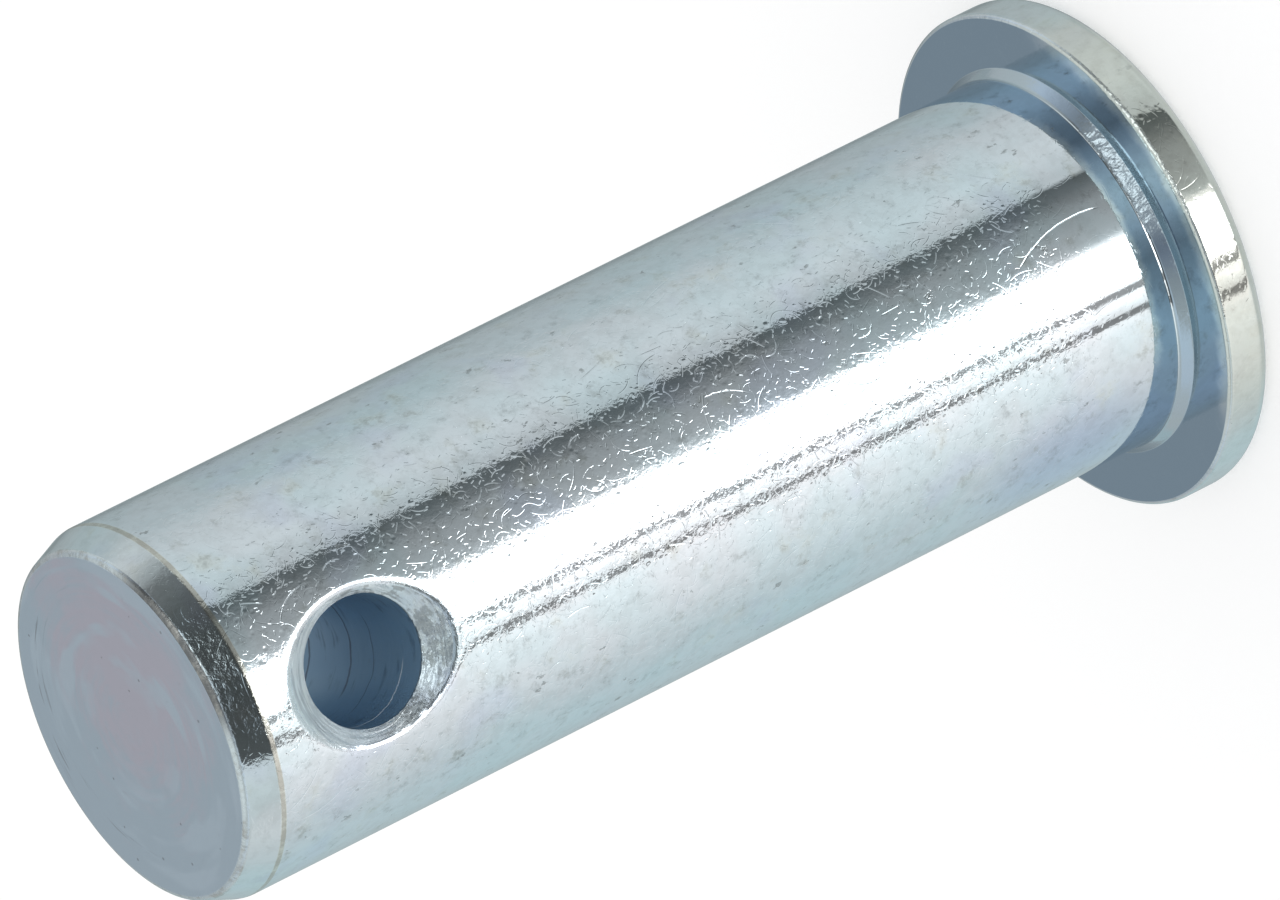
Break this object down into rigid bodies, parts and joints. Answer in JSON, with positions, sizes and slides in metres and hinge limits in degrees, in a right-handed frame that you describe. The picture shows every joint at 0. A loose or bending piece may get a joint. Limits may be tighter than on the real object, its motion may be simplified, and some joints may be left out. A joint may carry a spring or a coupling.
{
  "type": "clevis pin",
  "caption": "Headed cylindrical steel pin with a thin flat head, lead-in tip and a cross hole near the tip for a split pin.",
  "frame": {"origin": "centre of the head's flat outer face", "axes": "+Z along the pin's axis from the head to the tip, +Y along the split-pin hole"},
  "size_m": [0.016, 0.016, 0.0366],
  "materials": {
    "zinc_plated_steel": "bright zinc plate with a faint blue passivation, handled"
  },
  "bodies": {
    "root": {"clevis_pin": "zinc_plated_steel"}
  },
  "joints": []
}
